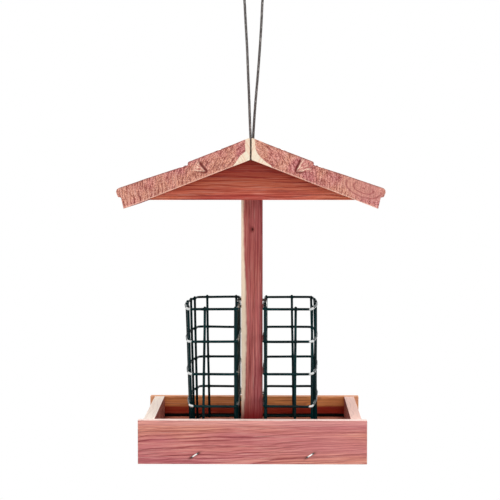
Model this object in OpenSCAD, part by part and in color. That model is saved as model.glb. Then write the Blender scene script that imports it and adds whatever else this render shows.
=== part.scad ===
// Hanging double suet feeder: a lapped-board roof on a centre post, a shallow tray and two wire cages.
// The origin is the top of the hanging cord's loop, where a hook carries it. +Z is up, -Y is the front.
// Heights named below are measured up from the tray's underside.

/* [Roof] */
// Length of the roof boards from front to back
roof_len = 177.8; // [170:1:220]
// Slope of the roof boards, in degrees
pitch = 21.1; // [16:0.1:26]
// Height of the roof's underside at the ridge
roof_seat_h = 236.2; // [220:0.5:260]
// Thickness of the roof boards in the upper course
roof_t = 15.8; // [14:0.1:19]
// Length of the roof's underside from the ridge to the eave
roof_run = 104.25; // [95:0.25:125]
// Distance from the ridge to the butt of the upper course
course_run = 46.2; // [35:0.1:60]
// How far the lower course starts below the upper one
course_step = 2.2; // [1:0.1:4]
// Thickness of the roof boards at the eave
eave_t = 16.25; // [14:0.05:20]
// Rise of the lower course's middle above a straight line
course_crown = 0.2; // [0:0.05:0.6]
// Radius on the butt of the upper course
butt_r = 1.9; // [0.5:0.1:2.5]
// Radius on the eave's upper edge
nose_r = 3.2; // [1:0.1:5]
// Height of the eave's lip
lip_h = 6.9; // [5:0.1:9]
// How far the lip stands out past the eave's lower edge
lip_out = 0.8; // [0.2:0.1:3]
// Radius under the lip's lower edge
lip_r = 1.2; // [0.5:0.1:2]
// Radius of the cove below the lip
cove_r = 1.3; // [0.5:0.1:2]
// How far the cove cuts in behind the lip's face
cove_in = 2; // [1:0.1:4]
// Width of the flat worn along the ridge
ridge_flat = 3.6; // [1:0.1:8]
// Gap between the two boards at the ridge's mitre
ridge_gap = 0.4; // [0.1:0.1:1]
// Diameter of the hole through the ridge for the cord
ridge_hole_d = 8; // [6:0.5:12]

/* [Gables] */
// Thickness of the gable boards
gable_t = 8.5; // [6:0.5:12]
// How far the gables stand back from the ends of the roof
gable_recess = 12.7; // [5:0.1:20]
// Height of the gables, from their lower edge to the ridge of the roof's underside
gable_h = 31.1; // [22:0.1:38]

/* [Post] */
// Width of the post across the feeder
post_w = 17; // [14:0.5:22]
// Depth of the post from front to back
post_d = 38; // [30:1:60]
// How far the post, the cages and the roof stand off the tray's middle
post_shift = -1.1; // [-3:0.1:3]
// Gap between the post's peak and the roof that rests on it
seat_gap = 0.25; // [0.1:0.05:0.6]
// Diameter of the bore in the post's top for the cord's two ends
cord_bore_d = 6.4; // [6:0.2:9]
// Depth of that bore below the post's peak
cord_bore_depth = 16; // [14:1:30]

/* [Tray] */
// Width of the tray
tray_w = 178; // [160:1:220]
// Depth of the tray from front to back
tray_d = 152.4; // [148:0.1:200]
// Height of the tray's boards
tray_h = 34.2; // [28:0.1:50]
// Thickness of the tray's four boards
board_t = 8.5; // [6:0.5:9.5]
// How far the side boards stand in from the ends of the front and back boards
side_inset = 3.9; // [1:0.1:10]
// Thickness of the tray's floor
floor_t = 17; // [12:0.5:22]
// Gap left all round the floor and at the ends of the side boards
joint_gap = 0.3; // [0.1:0.1:1]

/* [Cages] */
// Diameter of the coated cage wire
wire_d = 2.1; // [1.6:0.1:3]
// Pitch of the square mesh
mesh = 25.4; // [20:0.1:26.5]
// Number of mesh cells in the height of a cage
courses = 4; // [3:1:4]
// Gap between a cage and the tray's front board, and behind it to the back one
cage_end_gap = 2.6; // [0.5:0.1:8]
// Width of a cage from its inner side to its outer corners
cage_w = 39.1; // [34:0.1:50]
// Radius of a cage's outer side, which is bowed
bow_r = 400; // [200:5:600]
// Radius of a cage's corners at the wire's middle
corner_r = 5; // [4:0.5:8]
// Gap between a cage and the post's side
cage_gap = 0.5; // [0.3:0.1:1]
// How far the uprights stick up above the top ring's middle
upright_tip = 2; // [1.5:0.1:6]
// How far a ring and an upright run together where they are welded
weld = 0.3; // [0.1:0.05:0.5]
// Way round the left cage from the front flat's inner end to the seam
left_seam = 139.5; // [130:0.5:145]
// Way round the right cage from the front flat's inner end to the seam
right_seam = 316.5; // [312:0.5:322]

/* [Staples] */
// Thickness of the staples' wire
staple_t = 1.1; // [0.8:0.1:1.3]
// Length of a staple's crown over both legs
staple_crown = 7; // [6.2:0.1:9]
// Length of the legs of the staples in the tray
tray_leg = 20; // [14:1:30]
// Length of the legs of the staples in the roof
roof_leg = 24; // [20:1:26]
// Length of the legs of the staples over the cage wires
cage_leg = 9; // [6:0.5:10]
// How far a staple's crown stands proud of the wood
crown_proud = 0.3; // [0.1:0.1:0.6]
// Tilt of the staples in the tray's front and back boards, in degrees
staple_tilt = 32; // [0:1:60]
// Height of the staples in the tray's boards
staple_h = 6.9; // [5:0.1:9]
// Distance of the front and back boards' staples from the middle
staple_x = 44.8; // [30:0.1:70]
// Distance of the side boards' staples from the middle
staple_y = 35; // [20:1:50]
// Distance of the roof's upper staples from the ridge
roof_staple_top = 20; // [14:1:30]
// Distance of the roof's lower staples from the ridge
roof_staple_low = 52; // [50:1:56]
// Distance of the cages' staples on either side of the middle of the mesh cell over the post
cage_staple_y = 6; // [3:0.5:8]

/* [Screws and nail] */
// Shank diameter of the screws through the floor
screw_d = 4.2; // [3:0.1:5]
// Head diameter of those screws
screw_head_d = 8; // [6.5:0.1:10]
// Length of those screws
screw_len = 38; // [30:1:50]
// Distance of the screws in front of and behind the post's middle
screw_y = 10; // [7:0.5:13]
// Diameter of the nail that pins the cord's ends
nail_d = 1.4; // [1:0.1:2]
// How far the nail lies below the post's peak
nail_drop = 9; // [7:0.5:12]

/* [Cord] */
// Diameter of the cord
cord_d = 2.2; // [1.6:0.1:2.4]
// Height of the hang point above the ridge
hang_rise = 122.6; // [110:0.1:150]
// Gap between the cord's ends and the bottom of the bore
cord_end_gap = 1.1; // [0.5:0.1:3]

/* [Hidden] */

$fn = 32;
// Overlap past a face that a cut goes through
past = 1;
// Sides of the full circle that a cage's bow is part of
bow_sides = 360;
// How far the wire swells where two stretches of a ring meet
swell = 0.04;

// Roof
ridge_top_h = roof_seat_h + roof_t / cos(pitch) - ridge_flat / 2 * tan(pitch);
base_z = -(hang_rise + ridge_top_h);
gable_low_h = roof_seat_h - gable_h;
gable_half_w = gable_h / tan(pitch);
gable_y = roof_len / 2 - gable_recess - gable_t / 2;

// Post
post_peak_h = roof_seat_h - seat_gap / cos(pitch);
post_shoulder_h = post_peak_h - post_w / 2 * tan(pitch);

// Tray
side_x = tray_w / 2 - side_inset - board_t / 2;
inner_w = 2 * side_x - board_t;
inner_d = tray_d - 2 * board_t;

// Cages, drawn for the right-hand one about the post's middle
wire_r = wire_d / 2;
cage_d = inner_d - 2 * cage_end_gap;
ring_in = post_w / 2 + cage_gap + wire_r;
corner_in = ring_in + corner_r;
corner_out = ring_in + cage_w - wire_d - corner_r;
corner_y = cage_d / 2 - wire_r - corner_r;
bow_x = corner_out - sqrt((bow_r - corner_r) ^ 2 - corner_y ^ 2);
bow_angle = asin(corner_y / (bow_r - corner_r));
upright_in = wire_d - weld;
ring_low_h = floor_t + wire_r;
ring_top_h = ring_low_h + courses * mesh;

// Lengths of the ring's stretches, in order: front flat, outer corner, bow, outer corner, back flat,
// inner corner, inner side, inner corner
flat_run = corner_out - corner_in;
outer_run = corner_r * (90 - bow_angle) * PI / 180;
bow_run = bow_r * 2 * bow_angle * PI / 180;
inner_run = corner_r * PI / 2;
side_run = 2 * corner_y;
ring_runs = [flat_run, outer_run, bow_run, outer_run, flat_run, inner_run, side_run, inner_run];

// Sum of the first n values of a list
function sum_to(list, n) = n <= 0 ? 0 : list[n - 1] + sum_to(list, n - 1);
ring_around = sum_to(ring_runs, 8);
// Least distance between the first and the last upright, at the seam
seam_min = 6;
upright_count = floor((ring_around - seam_min) / mesh) + 1;

// Middle of the mesh cell over the post, for a cage with the seam given
function cell_y(seam) =
    let (
        way = sum_to(ring_runs, 6) + corner_y - seam,
        cells = (way < 0 ? way + ring_around : way) / mesh
    )
    (cells - floor(cells) - 0.5) * mesh;

// Points on an arc, with angles in degrees
function arc_points(centre, r, from, to, steps = 6) =
    [for (i = [0:steps]) centre + r * [cos(from + (to - from) * i / steps), sin(from + (to - from) * i / steps)]];

// Point on an arc, moved towards its centre
function on_arc(centre, r, angle, in) = centre + (r - in) * [cos(angle), sin(angle)];

// Point at a way s round the ring, moved in from the ring's line
function ring_point(s, in) =
    let (
        at = s % ring_around,
        n = len([for (i = [1:7]) if (at >= sum_to(ring_runs, i)) i]),
        rest = at - sum_to(ring_runs, n),
        turn = rest / corner_r * 180 / PI
    )
    n == 0 ? [corner_in + rest, -corner_y - corner_r + in] :
    n == 1 ? on_arc([corner_out, -corner_y], corner_r, -90 + turn, in) :
    n == 2 ? on_arc([bow_x, 0], bow_r, -bow_angle + rest / bow_r * 180 / PI, in) :
    n == 3 ? on_arc([corner_out, corner_y], corner_r, bow_angle + turn, in) :
    n == 4 ? [corner_out - rest, corner_y + corner_r - in] :
    n == 5 ? on_arc([corner_in, corner_y], corner_r, 90 + turn, in) :
    n == 6 ? [ring_in + in, corner_y - rest] :
    on_arc([corner_in, -corner_y], corner_r, 180 + turn, in);

// The cord's strands between the ridge and the loop: x, y and the share of the way down to the ridge
left_strand = [[-2.9, -0.9, 0.88], [-3.5, -0.6, 0.734], [-4.4, -0.3, 0.555], [-5.2, 0, 0.39], [-6.2, 0, 0.245],
    [-7, 0, 0.122]];
right_strand = [[7, 0, 0.122], [6.3, 0, 0.245], [5.2, 0, 0.39], [3.7, 0.3, 0.555], [1.8, 0.6, 0.734],
    [0.5, 0.9, 0.88]];
// The loop over the hook, whose inner side touches the origin
loop_r = 7.4;
loop_top = [[-loop_r, -6.3], [-6.4, -2.6], [-3.7, 0.1], [0, 1.1], [3.7, 0.1], [6.4, -2.6], [loop_r, -6.3]];
// Where the two strands run in the bore, off its middle
strand_x = 1;
strand_y = 1;
strand_shift = -0.2;
cord_sides = 8;
cord_steps = 3;

// The cord's route: up from the post's bore, over the loop's top and down again
peak_z = base_z + post_peak_h;
foot_heights = [peak_z - cord_bore_depth + cord_end_gap, peak_z - 7, peak_z + 5, -hang_rise];
cord_route = concat(
    [for (z = foot_heights) [post_shift + strand_shift - strand_x, -strand_y, z]],
    [for (p = left_strand) [p.x, p.y, -p.z * hang_rise]],
    [for (p = loop_top) [p.x, 0, p.y]],
    [for (p = right_strand) [p.x, p.y, -p.z * hang_rise]],
    [for (i = [3:-1:0]) [post_shift + strand_shift + strand_x, strand_y, foot_heights[i]]]
);

// Point on a smooth curve through four points of a route, between the middle two
function curve_point(p0, p1, p2, p3, t) =
    p1 + (p2 - p0) * t / 2 + (2 * p0 - 5 * p1 + 4 * p2 - p3) * t ^ 2 / 2
    + (3 * p1 - p0 - 3 * p2 + p3) * t ^ 3 / 2;

// Smooth line through a route's points
function smooth_line(route, steps) =
    let (last = len(route) - 1)
    concat([for (i = [0:last - 1]) for (k = [0:steps - 1])
        curve_point(route[max(i - 1, 0)], route[i], route[i + 1], route[min(i + 2, last)], k / steps)],
        [route[last]]);

function unit(v) = v / norm(v);

// Rings of points round a line that stays near one plane, whose normal is side
function tube_rings(line, r, sides, side) =
    [for (i = [0:len(line) - 1])
        let (
            ahead = unit(line[min(i + 1, len(line) - 1)] - line[max(i - 1, 0)]),
            across = unit(side - (side * ahead) * ahead),
            up = cross(ahead, across)
        )
        for (k = [0:sides - 1]) line[i] + r * (cos(360 * k / sides) * across + sin(360 * k / sides) * up)];

// Triangles of a tube of rings, closed at both ends
function tube_faces(count, sides) =
    concat(
        [for (i = [0:count - 2]) for (k = [0:sides - 1])
            [i * sides + k, (i + 1) * sides + k, i * sides + (k + 1) % sides]],
        [for (i = [0:count - 2]) for (k = [0:sides - 1])
            [i * sides + (k + 1) % sides, (i + 1) * sides + k, (i + 1) * sides + (k + 1) % sides]],
        [for (k = [1:sides - 2]) [0, k, k + 1]],
        [for (k = [1:sides - 2]) [(count - 1) * sides, (count - 1) * sides + k + 1, (count - 1) * sides + k]]
    );

// Moves its children to the tray's underside
module on_base() translate([0, 0, base_z]) children();

// Moves its children to the post's middle at the tray's underside
module on_post() translate([post_shift, 0, base_z]) children();

// Colours of the wood, the coated wire and the steel
module heartwood() color([0.78, 0.47, 0.44]) children();
module gable_wood() color([0.72, 0.33, 0.26]) children();
module coated_wire() color([0.05, 0.2, 0.17]) children();
module steel() color([0.62, 0.62, 0.62]) children();

// One driven staple: its crown lies along X just above the face z = 0 and its legs go down
module staple(leg) {
    translate([-staple_crown / 2, -staple_t / 2, crown_proud - staple_t])
        cube([staple_crown, staple_t, staple_t]);
    for (side = [-1, 1])
        translate([side * (staple_crown - staple_t) / 2 - staple_t / 2, -staple_t / 2, crown_proud - leg])
            cube([staple_t, staple_t, leg - staple_t / 2]);
}

// Outline of the right-hand roof board: x is the way down the slope and y is square to it
module roof_outline() {
    lip_x = roof_run + lip_out;
    lip_low = eave_t - lip_h;
    cove_x = lip_x - cove_in;
    crown_steps = 6;
    polygon(concat(
        [[-roof_t, 0], [-roof_t, roof_t]],
        arc_points([course_run - butt_r, roof_t - butt_r], butt_r, 90, 0),
        [for (i = [0:crown_steps])
            let (t = i / crown_steps)
            [course_run + (lip_x - nose_r - course_run) * t,
             roof_t - course_step + (eave_t - roof_t + course_step) * t + course_crown * 4 * t * (1 - t)]],
        arc_points([lip_x - nose_r, eave_t - nose_r], nose_r, 80, 0),
        arc_points([lip_x - lip_r, lip_low + lip_r], lip_r, 0, -80),
        arc_points([cove_x + cove_r, lip_low - cove_r], cove_r, 100, 180),
        [[roof_run, 0]]
    ));
}

// Places its children on the top of a roof board, at a way down the slope, over a gable
module on_roof(side, run, height, y) {
    on_post() translate([0, y, roof_seat_h])
        mirror([side < 0 ? 1 : 0, 0, 0]) rotate([0, pitch, 0]) translate([run, 0, height]) children();
}

// The four staples of one roof board, two over each gable
module board_staples(side) {
    for (y = [-gable_y, gable_y]) {
        on_roof(side, roof_staple_top, roof_t, y) staple(roof_leg);
        on_roof(side, roof_staple_low, low_staple_t(), y) staple(roof_leg);
    }
}

// Thickness of the lower course where its staples are
function low_staple_t() =
    let (t = (roof_staple_low - course_run) / (roof_run + lip_out - nose_r - course_run))
    roof_t - course_step + (eave_t - roof_t + course_step) * t + course_crown * 4 * t * (1 - t);

module roof_board(side) {
    difference() {
        on_post() mirror([side < 0 ? 1 : 0, 0, 0]) difference() {
            translate([0, 0, roof_seat_h]) rotate([90, pitch, 0])
                linear_extrude(roof_len, center = true) roof_outline();
            translate([ridge_gap / 2 - 2 * roof_t, -roof_len / 2 - past, roof_seat_h - 2 * roof_t])
                cube([2 * roof_t, roof_len + 2 * past, 4 * roof_t]);
            translate([-roof_t, -roof_len / 2 - past, ridge_top_h])
                cube([3 * roof_t, roof_len + 2 * past, roof_t]);
            translate([0, 0, roof_seat_h - roof_t]) cylinder(d = ridge_hole_d, h = 3 * roof_t);
        }
        board_staples(side);
    }
}

module gable(y) {
    difference() {
        on_post() translate([0, y, 0]) rotate([90, 0, 0])
            linear_extrude(gable_t, center = true)
                polygon([[-gable_half_w, gable_low_h], [gable_half_w, gable_low_h], [0, roof_seat_h]]);
        board_staples(-1);
        board_staples(1);
    }
}

module roof_board_left() heartwood() roof_board(-1);
module roof_board_right() heartwood() roof_board(1);
module gable_front() gable_wood() gable(-gable_y);
module gable_back() gable_wood() gable(gable_y);

module roof_staples() {
    steel() {
        board_staples(-1);
        board_staples(1);
    }
}

module post() {
    heartwood() difference() {
        on_post() rotate([90, 0, 0]) linear_extrude(post_d, center = true)
            polygon([[-post_w / 2, floor_t], [post_w / 2, floor_t], [post_w / 2, post_shoulder_h],
                     [0, post_peak_h], [-post_w / 2, post_shoulder_h]]);
        on_post() translate([0, 0, post_peak_h - cord_bore_depth])
            cylinder(d = cord_bore_d, h = cord_bore_depth + past);
        nail_body();
        screw_bodies();
        cage_staples(-1, left_seam);
        cage_staples(1, right_seam);
    }
}

// A countersunk screw, its head flush with the face z = 0 and its point up
module screw_body() {
    head_h = (screw_head_d - screw_d) / 2;
    cylinder(d1 = screw_head_d, d2 = screw_d, h = head_h);
    cylinder(d = screw_d, h = screw_len - screw_d);
    translate([0, 0, screw_len - screw_d]) cylinder(d1 = screw_d, d2 = screw_d / 4, h = screw_d);
}

module screw_bodies() {
    on_post() for (y = [-screw_y, screw_y]) translate([0, y, 0]) screw_body();
}

// The cross slot in a screw's head
module screw_slot() {
    slot_w = screw_d / 5;
    slot_len = screw_head_d * 0.6;
    for (turn = [0, 90])
        rotate([0, 0, turn]) translate([-slot_len / 2, -slot_w / 2, -past]) cube([slot_len, slot_w, past + slot_w]);
}

module post_screws() {
    steel() difference() {
        screw_bodies();
        on_post() for (y = [-screw_y, screw_y]) translate([0, y, 0]) rotate([0, 0, 30]) screw_slot();
    }
}

module nail_body() {
    on_post() translate([-post_w / 2, 0, post_peak_h - nail_drop])
        rotate([0, 90, 0]) cylinder(d = nail_d, h = post_w);
}

module cord_nail() steel() nail_body();

// The two staples of the front board, or of the back one
module long_board_staples(side) {
    on_base() for (x = [-staple_x, staple_x])
        translate([x, side * tray_d / 2, staple_h]) rotate([side > 0 ? -90 : 90, 0, 0])
            rotate([0, 0, side > 0 ? -staple_tilt : staple_tilt]) staple(tray_leg);
}

// The two staples of a side board
module side_board_staples(side) {
    on_base() for (y = [-staple_y, staple_y])
        translate([side * (side_x + board_t / 2), y, staple_h]) rotate([0, side * 90, 0])
            rotate([0, 0, 90]) staple(tray_leg);
}

module staples_front() steel() long_board_staples(-1);
module staples_back() steel() long_board_staples(1);

module staples_sides() {
    steel() {
        side_board_staples(-1);
        side_board_staples(1);
    }
}

module tray_floor() {
    heartwood() difference() {
        on_base() translate([-inner_w / 2 + joint_gap, -inner_d / 2 + joint_gap, 0])
            cube([inner_w - 2 * joint_gap, inner_d - 2 * joint_gap, floor_t]);
        screw_bodies();
        for (side = [-1, 1]) {
            long_board_staples(side);
            side_board_staples(side);
        }
    }
}

module long_board(side) {
    difference() {
        on_base() translate([-tray_w / 2, side * (tray_d - board_t) / 2 - board_t / 2, 0])
            cube([tray_w, board_t, tray_h]);
        long_board_staples(side);
    }
}

module side_board(side) {
    board_len = inner_d - 2 * joint_gap;
    difference() {
        on_base() translate([side * side_x - board_t / 2, -board_len / 2, 0]) cube([board_t, board_len, tray_h]);
        side_board_staples(side);
    }
}

module tray_front() heartwood() long_board(-1);
module tray_back() heartwood() long_board(1);
module tray_left() heartwood() side_board(-1);
module tray_right() heartwood() side_board(1);

// A straight wire along X or Y from a point in a ring
module wire_x(from, to, y) translate([from, y, 0]) rotate([0, 90, 0]) cylinder(r = wire_r, h = to - from);
module wire_y(from, to, x) translate([x, from, 0]) rotate([-90, 0, 0]) cylinder(r = wire_r, h = to - from);

// A bent wire about a centre, between two angles
module wire_arc(centre, r, from, to) {
    translate([centre.x, centre.y, 0]) rotate([0, 0, from])
        rotate_extrude(angle = to - from, $fn = r > corner_r ? bow_sides : $fn) translate([r, 0]) circle(r = wire_r);
}

// One ring of the right-hand cage, with a faint swelling where one stretch runs into the next
module ring() {
    for (n = [0:7])
        let (place = ring_point(sum_to(ring_runs, n), 0))
        translate([place.x, place.y, 0]) sphere(r = wire_r + swell);
    for (side = [-1, 1]) wire_x(corner_in, corner_out, side * (corner_y + corner_r));
    wire_y(-corner_y, corner_y, ring_in);
    wire_arc([corner_out, -corner_y], corner_r, -90, -bow_angle);
    wire_arc([bow_x, 0], bow_r, -bow_angle, bow_angle);
    wire_arc([corner_out, corner_y], corner_r, bow_angle, 90);
    wire_arc([corner_in, corner_y], corner_r, 90, 180);
    wire_arc([corner_in, -corner_y], corner_r, 180, 270);
}

// Places the right-hand cage's parts on the side asked for
module on_cage_side(side) on_post() mirror([side < 0 ? 1 : 0, 0, 0]) children();

// The rings are the same from front and back, so the right-hand ones are the left-hand ones turned round
module cage_rings(side) {
    coated_wire() on_post() rotate([0, 0, side < 0 ? 0 : 180]) mirror([1, 0, 0])
        for (i = [0:courses]) translate([0, 0, ring_low_h + i * mesh]) ring();
}

module cage_uprights(side, seam) {
    coated_wire() on_cage_side(side)
        for (i = [0:upright_count - 1])
            let (place = ring_point(seam + i * mesh, upright_in))
            translate([place.x, place.y, floor_t]) cylinder(r = wire_r, h = ring_top_h + upright_tip - floor_t);
}

// The staples that hold a cage's rings to the post's side
module cage_staples(side, seam) {
    on_cage_side(side)
        for (level = [1, courses]) for (y = [-cage_staple_y, cage_staple_y])
            translate([ring_in + wire_r + staple_t - crown_proud, cell_y(seam) + y, ring_low_h + level * mesh])
                rotate([0, 90, 0]) staple(cage_leg);
}

module cage_left_rings() cage_rings(-1);
module cage_left_uprights() cage_uprights(-1, left_seam);
module cage_left_staples() steel() cage_staples(-1, left_seam);
module cage_right_rings() cage_rings(1);
module cage_right_uprights() cage_uprights(1, right_seam);
module cage_right_staples() steel() cage_staples(1, right_seam);

module hanger_cord() {
    line = smooth_line(cord_route, cord_steps);
    color([0.45, 0.43, 0.42])
        polyhedron(tube_rings(line, cord_d / 2, cord_sides, [0, 1, 0]), tube_faces(len(line), cord_sides));
}

roof_board_left();
roof_board_right();
gable_front();
gable_back();
roof_staples();
post();
post_screws();
tray_floor();
tray_front();
tray_back();
tray_left();
tray_right();
staples_front();
staples_back();
staples_sides();
cage_left_rings();
cage_left_uprights();
cage_left_staples();
cage_right_rings();
cage_right_uprights();
cage_right_staples();
hanger_cord();
cord_nail();
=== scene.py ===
"""A hanging suet feeder: cedar roof, post and tray, two cages of coated wire and a braided cord."""

import math

import bmesh
import bpy
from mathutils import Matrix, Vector, noise


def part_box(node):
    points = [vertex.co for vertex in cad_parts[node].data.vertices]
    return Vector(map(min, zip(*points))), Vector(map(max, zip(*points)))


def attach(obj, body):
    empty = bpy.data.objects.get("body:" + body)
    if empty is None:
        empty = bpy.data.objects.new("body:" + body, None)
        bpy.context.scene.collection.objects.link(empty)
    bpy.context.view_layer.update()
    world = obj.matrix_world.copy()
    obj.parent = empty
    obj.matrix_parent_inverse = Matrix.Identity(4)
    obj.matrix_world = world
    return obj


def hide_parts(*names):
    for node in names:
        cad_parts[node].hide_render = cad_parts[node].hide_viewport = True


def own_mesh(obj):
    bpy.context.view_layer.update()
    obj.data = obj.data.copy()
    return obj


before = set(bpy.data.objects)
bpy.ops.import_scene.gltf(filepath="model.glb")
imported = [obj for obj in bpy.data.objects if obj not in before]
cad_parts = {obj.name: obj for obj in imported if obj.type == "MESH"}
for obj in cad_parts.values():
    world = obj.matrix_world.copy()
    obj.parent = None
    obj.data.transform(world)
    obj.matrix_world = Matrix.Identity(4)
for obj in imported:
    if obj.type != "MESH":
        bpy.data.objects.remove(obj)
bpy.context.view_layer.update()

MM = 0.001
scene = bpy.context.scene

# Camera

FOCAL, SENSOR = 130.05, 36  # mm
CAMERA_AT = (0.01639, -1.4681, -0.1397)
LOOKS_DOWN, LOOKS_LEFT = 2.83, 0.75  # degrees
camera = bpy.data.objects.new("camera", bpy.data.cameras.new("camera"))
camera.data.sensor_width = SENSOR
camera.data.lens = FOCAL
camera.data.clip_start, camera.data.clip_end = 0.05, 50
camera.location = CAMERA_AT
camera.rotation_euler = (math.radians(90 - LOOKS_DOWN), 0, math.radians(LOOKS_LEFT))
scene.collection.objects.link(camera)
scene.camera = camera

# Shader sums


def srgb(red, green, blue):
    """A colour given as it looks on a screen, 0 to 255, as Blender's shaders read it."""
    share = [c / 255 for c in (red, green, blue)]
    return tuple(c / 12.92 if c <= 0.04045 else ((c + 0.055) / 1.055) ** 2.4 for c in share) + (1.0,)


def clamp(value):
    return max(0.0, min(1.0, value))


class Wire:
    """An output of a shader node that takes part in Python sums."""

    def __init__(self, nodes, socket):
        self.nodes, self.socket = nodes, socket

    def sum(self, kind, *others):
        return self.nodes.node("Math", {"operation": kind}, dict(enumerate((self, *others))))

    def __add__(self, other):
        return self.sum("ADD", other)

    __radd__ = __add__

    def __sub__(self, other):
        return self.sum("SUBTRACT", other)

    def __rsub__(self, other):
        return self.nodes.node("Math", {"operation": "SUBTRACT"}, {0: other, 1: self})

    def __mul__(self, other):
        return self.sum("MULTIPLY", other)

    __rmul__ = __mul__

    def __truediv__(self, other):
        return self.sum("DIVIDE", other)

    def __pow__(self, other):
        return self.sum("POWER", other)

    def __abs__(self):
        return self.sum("ABSOLUTE")

    def step(self, low, high):
        """0 below low and 1 above high, or the other way round where low is the greater."""
        flip = low > high
        ends = (high, low) if flip else (low, high)
        return self.nodes.node(
            "MapRange",
            {"interpolation_type": "SMOOTHSTEP"},
            {0: self, 1: ends[0], 2: ends[1], 3: float(flip), 4: float(not flip)},
        )


class Nodes:
    """A tree of shader nodes, and the one method that adds to it."""

    def __init__(self, tree):
        self.tree = tree

    def set(self, node, inputs):
        for key, value in inputs.items():
            if isinstance(value, Wire):
                self.tree.links.new(value.socket, node.inputs[key])
            else:
                node.inputs[key].default_value = value

    def node(self, kind, settings=None, inputs=None, out=0):
        """Adds a node, with its settings first and then its inputs' values or wires, and gives its output."""
        node = self.tree.nodes.new("ShaderNode" + kind)
        for key, value in (settings or {}).items():
            if key == "stops":
                while len(node.color_ramp.elements) < len(value):
                    node.color_ramp.elements.new(0.5)
                for element, (position, level) in zip(node.color_ramp.elements, value):
                    element.position = position
                    element.color = (level, level, level, 1)
            elif key == "ramp":
                node.color_ramp.interpolation = value
            else:
                setattr(node, key, value)
        self.set(node, inputs or {})
        return Wire(self, node.outputs[out])

    def split(self, vector):
        return [self.node("SeparateXYZ", None, {0: vector}, i) for i in range(3)]

    def join(self, x, y, z):
        return self.node("CombineXYZ", None, {0: x, 1: y, 2: z})

    def mix(self, share, first, second):
        """A share of the second colour over the first, by the colour sockets of a Mix node."""
        return self.node("Mix", {"data_type": "RGBA"}, {0: share, 6: first, 7: second}, 2)

    def cloud(self, x, y, z, detail=2.0, rough=0.5, out=0):
        """Smooth noise at a place that is given as three numbers."""
        inputs = {"Vector": self.join(x, y, z), "Scale": 1.0, "Detail": detail, "Roughness": rough}
        return self.node("TexNoise", None, inputs, out)

    def spot(self):
        """The three numbers of a place on the piece, in metres."""
        return self.split(self.node("TexCoord", None, None, "Object"))

    def painted(self, name):
        """A value that is kept on the mesh."""
        return self.node("Attribute", {"attribute_name": name}, None, "Fac")


class Paint(Nodes):
    """A material."""

    def __init__(self, name, roughness, specular):
        self.material = bpy.data.materials.new(name)
        self.material.use_nodes = True
        super().__init__(self.material.node_tree)
        self.shader = self.tree.nodes["Principled BSDF"]
        self.set(self.shader, {"Roughness": roughness, "Specular IOR Level": specular})

    def finish(self, inputs, height, depth=0.3 * MM, strength=0.6):
        """Sets what changes over the surface, and a relief of that depth."""
        bump = {"Strength": strength, "Distance": depth, "Height": height}
        self.set(self.shader, {**inputs, "Normal": self.node("Bump", None, bump)})
        return self.material


# Cedar

# Colours are given as they look on a screen
FIBRE_PALE = (255, 222, 204)
END_PALE = (252, 207, 196)
SAP_LATE = (226, 184, 152)
KNOT_RIM, KNOT_HEART = (112, 36, 34), (38, 14, 14)
RUBBED = (244, 206, 178)
SAWN_DARK = (128, 78, 66)
TORN_EDGE, PLANED_EDGE = (120, 66, 62), (246, 196, 176)
# How the late wood comes and ends over one ring
LATE_WOOD = [(0, 0.0), (0.68, 0.05), (0.9, 1), (0.96, 0.9), (1, 0.0)]
# The axes along and across the board for each way of the grain
GRAIN_AXES = {"X": (0, 1, 2), "Y": (1, 0, 2), "Z": (2, 0, 1)}


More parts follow.
